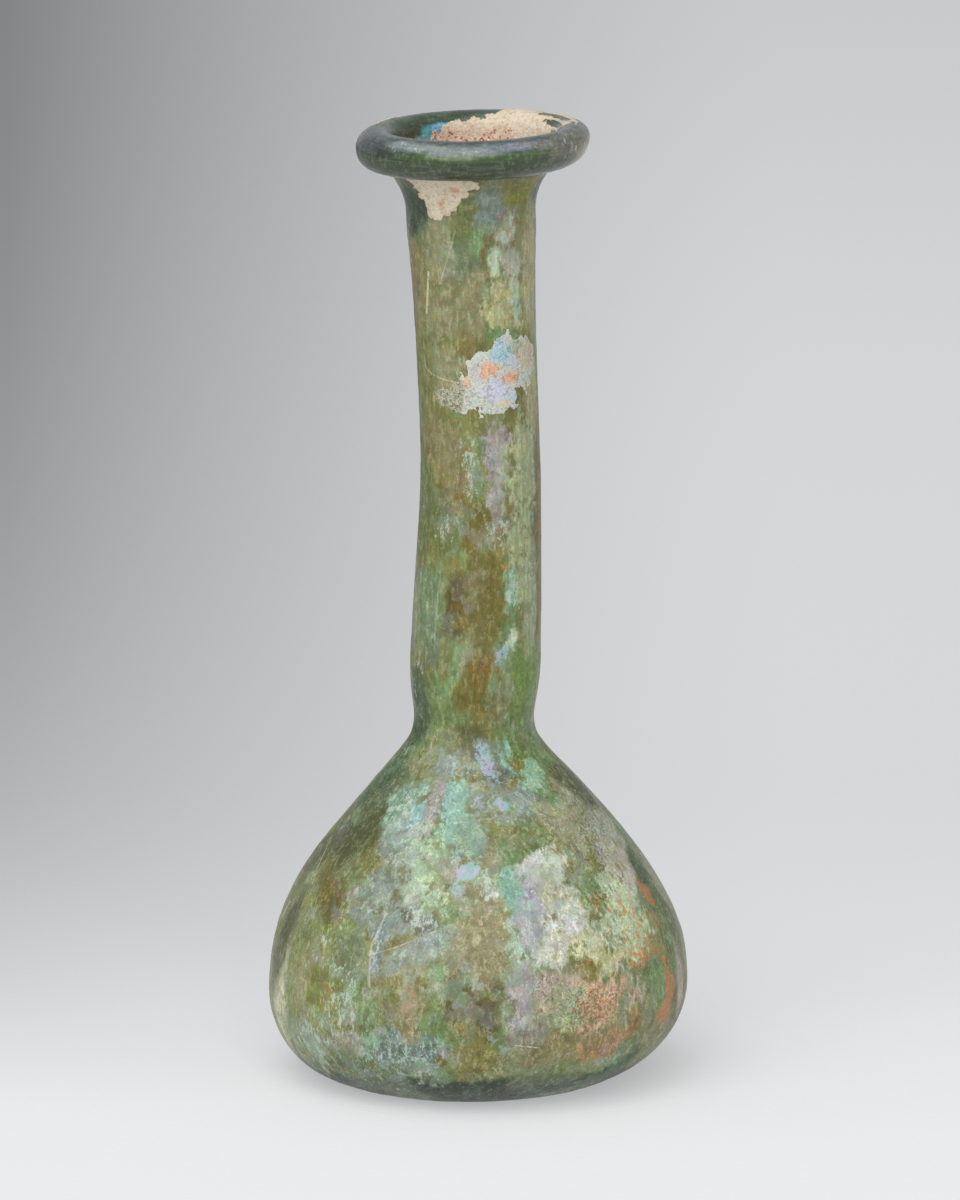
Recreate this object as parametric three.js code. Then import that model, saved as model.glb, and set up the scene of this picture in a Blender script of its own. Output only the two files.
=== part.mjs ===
// A blown glass unguentarium: a pear-shaped body that flares down from a long, narrow neck to a rounded heel,
// with a thick collar rim rolled round the mouth. It is one piece of glass, hollow and open at the top.
// Millimetres, +Z up. The origin is on the ground, under the middle of the body, and the front faces -Y.

import * as THREE from 'three';

// Overall
const height = 145; // ground to the crest of the rim

// Walls
const baseWall = 3.4;
const bodyWall = 1.6;
const neckWall = 2.0;

// Base: the bottle stands on a flat ring, and the glass inside the ring is pushed in
const heelRadius = 13.7; // the round from the ring up to the widest part of the body
const standingRingWidth = 4.2;
const kickDepth = 1.5;
const kickCrown = 0.45; // share of the push-in's radius over which its middle stays level
const kickFoot = 0.6; // share of its radius from where it runs level into the ring

// Body
const bodyDiameter = 63;
const shoulderHeight = 39; // the round of the body turns into a straight slope here
const shoulderDiameter = 41.2;
const bellyFullness = 0.36; // share of the rise over which the belly keeps going straight up
const shoulderFullness = 0.48; // and over which the round already has the slope's direction

// Neck
const throatHeight = 52.5; // the shoulder's slope would meet the neck here
const throatRounding = 2.4; // length of the round, each way from that meeting point
const throatDiameter = 18.1;
const swellRise = 7; // a slight swelling of the neck, above its narrowest point
const swellDiameter = 19.6;
const waistPlace = 0.5; // share of the way from the swelling to the top of the neck
const waistDiameter = 17.9;
const neckTopDiameter = 20.2;
const flareHeight = 4.3; // from the top of the neck up to the collar's underside
const flareThroat = 0.7; // how far the flare has opened halfway up

// Rim: a rolled collar with an egg-shaped section
const rimDiameter = 34.7;
const rimWidth = 5.6;
const rimRise = 2.4; // from the widest line of the collar up to its crest
const rimDrop = 3.5; // and down to its underside
const rimUndercut = 1.4; // from under the middle of the collar's section in to where the neck's flare ends
const mouthSteepness = 0.4; // share of the mouth's depth over which its wall keeps its direction at each end

// Signs of the hand: the bottle isn't quite true
const baseShift = -1.4; // sideways, towards -X
const throatShift = -0.6;
const neckShift = 0.25;
const neckShiftPlace = 0.6; // share of the way from the swelling to the waist, where the neck comes upright
const neckTopShift = -1.1;
const rimShift = -0.4;
const neckLean = 0.5; // towards +Y at the rim
const rimTilt = THREE.MathUtils.degToRad(1.6); // the rim is lower towards -X
const bodyOval = 0.2; // the body is this much wider in X than round, and as much narrower in Y
const dentDepth = 0.55; // a slight hollow high on the +X side of the shoulder
const dentHeight = 32;
const dentReach = 7; // up and down, and along the wall

// Facets: round the bottle, and along each stretch of its outline
const segmentsAround = 40;
const steps = {
  kick: 4,
  heel: 8,
  belly: 9,
  throat: 4,
  swelling: 3,
  lowerNeck: 5,
  upperNeck: 6,
  flare: 4,
  underside: 6,
  crest: 8,
  mouth: 6,
};

// Heights and radii that follow from these
const bodyRadius = bodyDiameter / 2;
const ringOuterRadius = bodyRadius - heelRadius;
const ringInnerRadius = ringOuterRadius - standingRingWidth;
const throatRadius = throatDiameter / 2;
const neckRootHeight = throatHeight + throatRounding;
const swellHeight = neckRootHeight + swellRise;
const rimHeight = height - rimRise; // of the collar's widest line
const neckTopHeight = rimHeight - rimDrop - flareHeight;
const neckTopRadius = neckTopDiameter / 2;
const waistHeight = THREE.MathUtils.lerp(swellHeight, neckTopHeight, waistPlace);
const rimCentreRadius = (rimDiameter - rimWidth) / 2;

const point = (radius, z) => new THREE.Vector2(radius, z);
const ease = (share) => share * share * (3 - 2 * share);

// Joins stretches of points that start where the last one ended.
function joined(...stretches) {
  return stretches.reduce((all, stretch) => all.concat(all.length ? stretch.slice(1) : stretch), []);
}

function ellipseArc(centre, radiusAcross, radiusUp, from, to, count) {
  const ellipse = new THREE.EllipseCurve(centre.x, centre.y, radiusAcross, radiusUp, from, to);
  return ellipse.getPoints(count);
}

// The underside, from the middle of the push-in out to the edge of the standing ring.
function baseOutline() {
  const kick = new THREE.CubicBezierCurve(
    point(0, kickDepth),
    point(ringInnerRadius * kickCrown, kickDepth),
    point(ringInnerRadius * kickFoot, 0),
    point(ringInnerRadius, 0),
  );
  return joined(kick.getPoints(steps.kick), [point(ringInnerRadius, 0), point(ringOuterRadius, 0)]);
}

function bodyOutline() {
  const heelCentre = point(ringOuterRadius, heelRadius);
  const heel = ellipseArc(heelCentre, heelRadius, heelRadius, -Math.PI / 2, 0, steps.heel);
  const shoulder = point(shoulderDiameter / 2, shoulderHeight);
  const throat = point(throatRadius, throatHeight);
  const slope = throat.clone().sub(shoulder).normalize();
  const rise = shoulderHeight - heelRadius;
  const belly = new THREE.CubicBezierCurve(
    point(bodyRadius, heelRadius),
    point(bodyRadius, heelRadius + rise * bellyFullness),
    shoulder.clone().addScaledVector(slope, -rise * shoulderFullness),
    shoulder,
  );
  const throatStart = throat.clone().addScaledVector(slope, -throatRounding);
  const slopeMiddle = shoulder.clone().lerp(throatStart, 0.5);
  const turn = new THREE.QuadraticBezierCurve(throatStart, throat, point(throatRadius, neckRootHeight));
  return joined(
    heel,
    belly.getPoints(steps.belly),
    [shoulder, slopeMiddle, throatStart],
    turn.getPoints(steps.throat),
  );
}

function neckRadiusAt(z) {
  if (z < swellHeight) {
    const share = (z - neckRootHeight) / (swellHeight - neckRootHeight);
    return THREE.MathUtils.lerp(throatRadius, swellDiameter / 2, ease(share));
  }
  if (z < waistHeight) {
    const share = (z - swellHeight) / (waistHeight - swellHeight);
    return THREE.MathUtils.lerp(swellDiameter / 2, waistDiameter / 2, ease(share));
  }
  const share = (z - waistHeight) / (neckTopHeight - waistHeight);
  return THREE.MathUtils.lerp(waistDiameter / 2, neckTopRadius, share ** 3);
}

function neckOutline() {
  const stretch = (from, to, count) =>
    Array.from({ length: count + 1 }, (_, i) => {
      const z = THREE.MathUtils.lerp(from, to, i / count);
      return point(neckRadiusAt(z), z);
    });
  return joined(
    stretch(neckRootHeight, swellHeight, steps.swelling),
    stretch(swellHeight, waistHeight, steps.lowerNeck),
    stretch(waistHeight, neckTopHeight, steps.upperNeck),
  );
}

// From the top of the neck out to the collar, round it, and down the funnel of the mouth to the bore.
function rimOutline(boreTop) {
  const centre = point(rimCentreRadius, rimHeight);
  const half = rimWidth / 2;
  const flareEnd = 1.5 * Math.PI - Math.asin(rimUndercut / half);
  const underside = ellipseArc(centre, half, rimDrop, flareEnd, 2 * Math.PI, steps.underside);
  const flare = new THREE.QuadraticBezierCurve(
    point(neckTopRadius, neckTopHeight),
    point(neckTopRadius + flareThroat, (neckTopHeight + underside[0].y) / 2),
    underside[0],
  );
  const crest = ellipseArc(centre, half, rimRise, 0, Math.PI, steps.crest);
  const mouthEdge = crest[crest.length - 1];
  const keep = (mouthEdge.y - boreTop.y) * mouthSteepness;
  const mouth = new THREE.CubicBezierCurve(
    mouthEdge,
    point(mouthEdge.x, mouthEdge.y - keep),
    point(boreTop.x, boreTop.y + keep),
    boreTop,
  );
  return joined(flare.getPoints(steps.flare), underside, crest, mouth.getPoints(steps.mouth));
}

// Thick at the base, thin round the body, and thicker again up the neck.
function wallAt(z) {
  if (z < heelRadius) return THREE.MathUtils.lerp(baseWall, bodyWall, ease(z / heelRadius));
  const share = Math.min((z - heelRadius) / (neckRootHeight - heelRadius), 1);
  return THREE.MathUtils.lerp(bodyWall, neckWall, ease(share));
}

// The inner surface: each point of the outer one, moved square to it through the wall.
function insetThroughWall(outer) {
  return outer.map((here, i) => {
    const before = outer[Math.max(i - 1, 0)];
    const after = outer[Math.min(i + 1, outer.length - 1)];
    const along = after.clone().sub(before).normalize();
    const onAxis = i === 0;
    const inward = onAxis ? point(0, 1) : point(-along.y, along.x);
    return here.clone().addScaledVector(inward, wallAt(here.y));
  });
}

// How far the middle of the bottle is off its axis at a height, as one smooth line through the shifts.
const shiftLine = new THREE.SplineCurve([
  point(baseShift, 0),
  point(0, heelRadius),
  point(0, shoulderHeight),
  point(throatShift, neckRootHeight),
  point(neckShift, THREE.MathUtils.lerp(swellHeight, waistHeight, neckShiftPlace)),
  point(neckShift, waistHeight),
  point(neckTopShift, neckTopHeight),
  point(rimShift, height),
]);
const shiftPoints = shiftLine.getPoints(Math.ceil(height));

function shiftAt(z) {
  const above = shiftPoints.findIndex((p) => p.y >= z);
  if (above < 1) return (above === 0 ? shiftPoints[0] : shiftPoints[shiftPoints.length - 1]).x;
  const [low, high] = [shiftPoints[above - 1], shiftPoints[above]];
  return THREE.MathUtils.mapLinear(z, low.y, high.y, low.x, high.x);
}

// Moves a point of the true, turned shape to where the hand-made one has it.
function settle(p) {
  const angle = Math.atan2(p.y, p.x);
  const bodyShare = THREE.MathUtils.clamp(1 - (p.z - heelRadius) / (neckRootHeight - heelRadius), 0, 1);
  const oval = bodyOval * ease(Math.min(p.z / heelRadius, 1)) * ease(bodyShare) * Math.cos(2 * angle);
  const fromDent = Math.hypot(p.z - dentHeight, angle * Math.hypot(p.x, p.y)) / dentReach;
  const swell = oval - dentDepth * Math.exp(-fromDent * fromDent);
  const neckShare = THREE.MathUtils.clamp((p.z - neckRootHeight) / (height - neckRootHeight), 0, 1);
  const rimShare = THREE.MathUtils.clamp((p.z - waistHeight) / (neckTopHeight - waistHeight), 0, 1);
  p.z += p.x * Math.tan(rimTilt) * ease(rimShare);
  p.x += swell * Math.cos(angle) + shiftAt(p.z);
  p.y += swell * Math.sin(angle) + neckLean * neckShare ** 2;
  return p;
}

function flaskGeometry() {
  const outer = joined(baseOutline(), bodyOutline(), neckOutline());
  const inner = insetThroughWall(outer);
  const boreTop = inner[inner.length - 1];
  const everyOther = inner.filter((_, i) => i % 2 === 0 || i === inner.length - 1);
  const outline = joined(outer, rimOutline(boreTop), everyOther.reverse());
  outline[0].x = 0;
  outline[outline.length - 1].x = 0;
  // A lathe turns about Y, so the turned shape is stood up along Z.
  const geometry = new THREE.LatheGeometry(outline, segmentsAround).rotateX(Math.PI / 2);
  const positions = geometry.getAttribute('position');
  const p = new THREE.Vector3();
  for (let i = 0; i < positions.count; i += 1) {
    settle(p.fromBufferAttribute(positions, i));
    positions.setXYZ(i, p.x, p.y, p.z);
  }
  geometry.computeVertexNormals();
  return geometry;
}

function flask() {
  const weatheredGlass = new THREE.MeshStandardMaterial({
    color: new THREE.Color(0.36, 0.42, 0.22),
    roughness: 0.35,
    metalness: 0,
  });
  const mesh = new THREE.Mesh(flaskGeometry(), weatheredGlass);
  mesh.name = 'flask';
  return mesh;
}

const unguentarium = new THREE.Group();
unguentarium.add(flask());

export default unguentarium;
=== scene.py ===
import math

import bpy
import numpy as np
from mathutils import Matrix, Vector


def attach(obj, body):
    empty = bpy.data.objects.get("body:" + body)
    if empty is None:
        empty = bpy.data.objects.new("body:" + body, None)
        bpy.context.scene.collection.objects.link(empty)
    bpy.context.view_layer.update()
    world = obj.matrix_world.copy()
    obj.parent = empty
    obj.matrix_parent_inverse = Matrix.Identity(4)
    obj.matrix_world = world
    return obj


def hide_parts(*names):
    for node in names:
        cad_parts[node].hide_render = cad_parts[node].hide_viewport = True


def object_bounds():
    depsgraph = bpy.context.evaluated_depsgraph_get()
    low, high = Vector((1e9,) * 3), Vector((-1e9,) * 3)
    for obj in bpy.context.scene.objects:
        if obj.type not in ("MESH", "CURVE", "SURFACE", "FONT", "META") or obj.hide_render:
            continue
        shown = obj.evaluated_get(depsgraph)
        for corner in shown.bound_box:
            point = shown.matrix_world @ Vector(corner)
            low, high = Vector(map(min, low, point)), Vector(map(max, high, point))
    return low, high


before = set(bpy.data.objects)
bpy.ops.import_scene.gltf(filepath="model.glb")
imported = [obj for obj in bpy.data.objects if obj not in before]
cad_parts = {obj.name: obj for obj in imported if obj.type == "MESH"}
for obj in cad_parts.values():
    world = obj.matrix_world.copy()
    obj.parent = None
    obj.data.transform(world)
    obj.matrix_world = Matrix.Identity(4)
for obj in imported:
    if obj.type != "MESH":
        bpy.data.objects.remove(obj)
cadBox = [list(corner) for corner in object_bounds()]
print("frame loaded, box", cadBox)

mm = 0.001


def linear(red, green, blue):  # a colour given 0 to 255, as the shader wants it
    parts = [value / 255 for value in (red, green, blue)]
    return tuple(part / 12.92 if part <= 0.04045 else ((part + 0.055) / 1.055) ** 2.4 for part in parts)


def paint(red, green, blue):
    return (*linear(red, green, blue), 1.0)


def smooth(value, low, high):
    part = np.clip((value - low) / (high - low), 0, 1)
    return part * part * (3 - 2 * part)


def cloud(points, size, seed, octaves=5, gain=0.6):  # soft random field, middle 0 and spread 1
    lattice = np.random.default_rng(seed).random((32, 32, 32))
    total, amount = np.zeros(len(points)), 1.0
    for octave in range(octaves):
        place = points * (2.0 ** octave) / size + 7.3 * octave
        cell = np.floor(place).astype(int)
        part = place - cell
        part = part ** 3 * (part * (part * 6 - 15) + 10)
        for corner in range(8):
            step = np.array([corner >> 2 & 1, corner >> 1 & 1, corner & 1])
            share = np.prod(np.where(step == 1, part, 1 - part), axis=1)
            index = (cell + step) % 32
            total += amount * share * lattice[index[:, 0], index[:, 1], index[:, 2]]
        amount *= gain
    return (total - total.mean()) / total.std()


skin = {  # the bottle's skin: the frame's own rings, laid out finer
    "around": 272,  # columns round the bottle
    "ringSize": 40,  # points in each of the frame's rings
    "outerRings": 67,  # rings from the foot over the rim to the bottom of the mouth
    "footStep": 1.5,  # mm between rows, by part of the bottle
    "bodyStep": 0.66,
    "neckStep": 0.74,
    "patchStep": 0.42,
    "rimStep": 0.38,
    "insideStep": 5.0,
}


def readRings(node):  # the rings of a turned shell, from the foot's pole to the inside's pole, in mm
    mesh = node.data
    corners = np.empty(len(mesh.vertices) * 3, np.float32)
    mesh.vertices.foreach_get("co", corners)
    corners = corners.reshape(-1, 3).astype(float) / mm
    grid = np.round(corners * 1e4).astype(np.int64)
    first, where = np.unique(grid, axis=0, return_index=True, return_inverse=True)[1:]
    points = corners[first]
    loops = np.empty(len(mesh.loops), np.int32)
    mesh.loops.foreach_get("vertex_index", loops)
    faces = where.reshape(-1)[loops].reshape(-1, 3)
    links = np.vstack([faces[:, [0, 1]], faces[:, [1, 2]], faces[:, [2, 0]]])
    links = np.vstack([links, links[:, ::-1]])
    poles = np.flatnonzero(np.bincount(links[:, 0]) > skin["ringSize"])
    start = poles[np.argmin(points[poles, 2])]
    layer = np.full(len(points), -1)
    layer[start] = 0
    step = 0
    while (layer < 0).any():
        reached = links[layer[links[:, 0]] == step, 1]
        layer[reached[layer[reached] < 0]] = step + 1
        step += 1
    rings = []
    for number in range(1, step):
        ring = points[layer == number]
        out = ring - ring.mean(0)
        turn = np.arctan2(out[:, 0], -out[:, 1]) + math.pi + math.pi / skin["ringSize"]
        rings.append(ring[np.argsort(turn % (2 * math.pi))])
    return points[start], np.array(rings), points[layer == step][0]


footPole, rings, insidePole = readRings(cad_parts["flask"])
print("rings", rings.shape)

wave = np.fft.rfft(rings, axis=1)  # each ring as a smooth closed curve
fineRings = np.fft.irfft(wave, n=skin["around"], axis=1) * skin["around"] / skin["ringSize"]
poleRing = np.ones((skin["around"], 1))
fineRings = np.concatenate([[poleRing * footPole], fineRings, [poleRing * insidePole]])
gaps = np.linalg.norm(np.diff(fineRings, axis=0), axis=2).mean(1)
runs = np.concatenate([[0], np.cumsum(gaps)])  # mm along the outline at each ring


def rowPlaces():  # where the rows lie along the outline, closer where there is more to see
    heights, spread = fineRings[:, :, 2].mean(1), np.arange(len(runs))
    steps = np.full(len(runs), skin["neckStep"])
    steps[heights < 46] = skin["bodyStep"]
    steps[spread < 6] = skin["footStep"]
    steps[(heights > 101) & (heights < 117)] = skin["patchStep"]
    steps[(spread > 43) & (spread < 66)] = skin["rimStep"]
    steps[spread >= 66] = skin["insideStep"]
    fine = np.linspace(0, runs[-1], 6000)
    count = np.concatenate([[0], np.cumsum(np.diff(fine) / np.interp(fine, runs, steps)[1:])])
    wanted = np.arange(1, math.floor(count[-1]))
    return np.interp(wanted, count, fine)


def alongOutline(places):  # a smooth curve through every ring
    slope = np.gradient(fineRings, runs, axis=0)
    index = np.clip(np.searchsorted(runs, places, side="right") - 1, 0, len(runs) - 2)
    width = (runs[index + 1] - runs[index])[:, None, None]
    part = (places - runs[index])[:, None, None] / width
    first, last = fineRings[index], fineRings[index + 1]
    rise = (1 + 2 * part) * (1 - part) ** 2 * first + part ** 2 * (3 - 2 * part) * last
    return rise + width * part * (1 - part) * ((1 - part) * slope[index] - part * slope[index + 1])


places = rowPlaces()
grid = alongOutline(places)
grid[:, :, 2] = np.maximum(grid[:, :, 2], 0)
rowCount, around = grid.shape[:2]
print("rows", rowCount, "columns", around)


def shellMesh(name, rows, first, last):  # a closed skin from rows of points and a point at each end
    count, ring = rows.shape[:2]
    points = np.vstack([rows.reshape(-1, 3), [first, last]]) * mm
    index = np.arange(count * ring).reshape(count, ring)
    beside = np.roll(index, -1, axis=1)
    quads = np.stack([index[:-1], beside[:-1], beside[1:], index[1:]], axis=-1).reshape(-1, 4)
    foot = np.stack([np.full(ring, count * ring), beside[0], index[0]], axis=-1)
    top = np.stack([np.full(ring, count * ring + 1), index[-1], beside[-1]], axis=-1)
    middle = points[quads].mean(1)
    normal = np.cross(points[quads[:, 2]] - points[quads[:, 0]], points[quads[:, 3]] - points[quads[:, 1]])
    if (middle * normal).sum() < 0:  # the faces point outwards
        quads, foot, top = quads[:, ::-1], foot[:, ::-1], top[:, ::-1]
    mesh = bpy.data.meshes.new(name)
    mesh.from_pydata(points.tolist(), [], quads.tolist() + foot.tolist() + top.tolist())
    mesh.update()
    mesh.shade_smooth()
    return mesh


# where things are on the bottle: heights and radii in mm, bearings in radians
up = grid[:, :, 2].ravel()
centres = grid.mean(1)
radii = np.linalg.norm((grid - centres[:, None])[:, :, :2], axis=2).mean(1)
radius = np.repeat(radii, around)
bearing = np.tile(np.arange(around) / around * 2 * math.pi - math.pi, rowCount)  # 0 front, + to the right
ringPlace = np.interp(places, runs, np.arange(len(runs)))
ringOf = np.repeat(ringPlace, around)
runOf = np.repeat(places, around)
wallRows = (ringPlace > 4.5) & (ringPlace < 47)
wall = (ringOf > 3.5) & (ringOf < 47.5)
inside = smooth(ringOf, skin["outerRings"] - 1, skin["outerRings"] + 2)
rimTurn = places[np.argmax(np.where((ringPlace > 47) & (ringPlace < 61), radii, 0))]  # the rim's widest line
lap = runOf - rimTurn  # mm along the outline from there, up and inwards
points = grid.reshape(-1, 3)
warp = np.stack([cloud(points, 5.0, seed) for seed in (11, 12)], axis=1)
finerWarp = np.stack([cloud(points, 1.6, seed, 3) for seed in (13, 14)], axis=1)


def wrapped(angle):
    return (angle + math.pi) % (2 * math.pi) - math.pi


def spot(right, height, halfWidth, halfHeight, turn, soft=0.35, ragged=0.3):
    # an uneven patch on the wall, placed as seen from the front, in mm; turn leans its top to the right
    middle = np.interp(height, centres[wallRows, 2], centres[wallRows, 0])
    reach = np.interp(height, centres[wallRows, 2], radii[wallRows])
    facing = np.clip((right - middle) / reach, -0.97, 0.97)
    along = wrapped(bearing - math.asin(facing)) * radius
    rise = up - height
    lean = math.radians(turn)
    wide = halfWidth / max(0.42, math.sqrt(1 - facing ** 2))
    east = along * math.cos(lean) - rise * math.sin(lean)
    north = along * math.sin(lean) + rise * math.cos(lean)
    bend = ragged * min(halfWidth, halfHeight) ** 0.35 * min(halfWidth, halfHeight)
    east = east + bend * (warp[:, 0] * 0.55 + finerWarp[:, 0] * 0.3)
    north = north + bend * (warp[:, 1] * 0.55 + finerWarp[:, 1] * 0.3)
    distance = np.hypot(east / wide, north / halfHeight)
    return (1 - smooth(distance, 1 - soft, 1 + soft)) * wall


def rimSpot(degrees, lapAt, halfWidth, halfLap, soft=0.35, ragged=0.25):
    # the same on the rim and in the mouth; 0 degrees is the front, 90 the right
    along = wrapped(bearing - math.radians(degrees)) * radius + ragged * halfWidth * warp[:, 0] * 0.5
    rise = lap - lapAt + ragged * halfLap * (warp[:, 1] * 0.5 + finerWarp[:, 0] * 0.3)
    distance = np.hypot(along / halfWidth, rise / halfLap)
    return (1 - smooth(distance, 1 - soft, 1 + soft)) * (ringOf > 43)


film = {  # the colours under the weathered film's patches
    "olive": (134, 131, 88), "moss": (120, 136, 94), "stone": (152, 158, 134),
    "bark": (124, 114, 74), "fresh": (134, 158, 120), "deep": (46, 62, 36),
    # slate is mostly a painted reflection along the rim's crest
    "slate": (80, 94, 100), "base": (52, 70, 64), "cavity": (96, 100, 62),
}
tones = {  # the palette the patches are painted from; glow is painted light, glass lit from behind, and milk is partly a painted reflection
    "seaDark": (36, 56, 32), "greenDark": (66, 90, 56), "oliveDark": (84, 88, 50), "umber": (86, 76, 28),
    "bronze": (116, 106, 54), "ochre": (122, 102, 30), "gold": (142, 142, 60), "fern": (112, 120, 80),
    "olive": (130, 132, 90), "leaf": (130, 156, 92), "glow": (170, 176, 116), "tan": (146, 138, 108),
    "khaki": (154, 150, 122), "pewter": (172, 171, 150), "lichen": (177, 184, 158), "sand": (166, 154, 132),
    "straw": (190, 186, 154), "cream": (206, 204, 166), "ivory": (230, 228, 206), "milk": (230, 230, 230),
    "clay": (180, 146, 116), "blush": (206, 192, 188), "peach": (230, 198, 178), "mauve": (170, 164, 172),
    "lavender": (186, 186, 206), "rose": (152, 146, 146), "fog": (104, 106, 102), "seaGrey": (114, 130, 130),
    "greyGreen": (128, 144, 116), "sage": (146, 156, 132), "mist": (152, 162, 162), "aqua": (146, 182, 176),
    "sea": (134, 162, 150), "steel": (134, 146, 150), "haze": (112, 124, 100), "deepSea": (62, 88, 84),
    "ice": (160, 200, 208), "mint": (180, 197, 178), "jade": (164, 194, 172), "paleMint": (212, 226, 204),
    "ash": (190, 190, 180),
}
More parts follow.
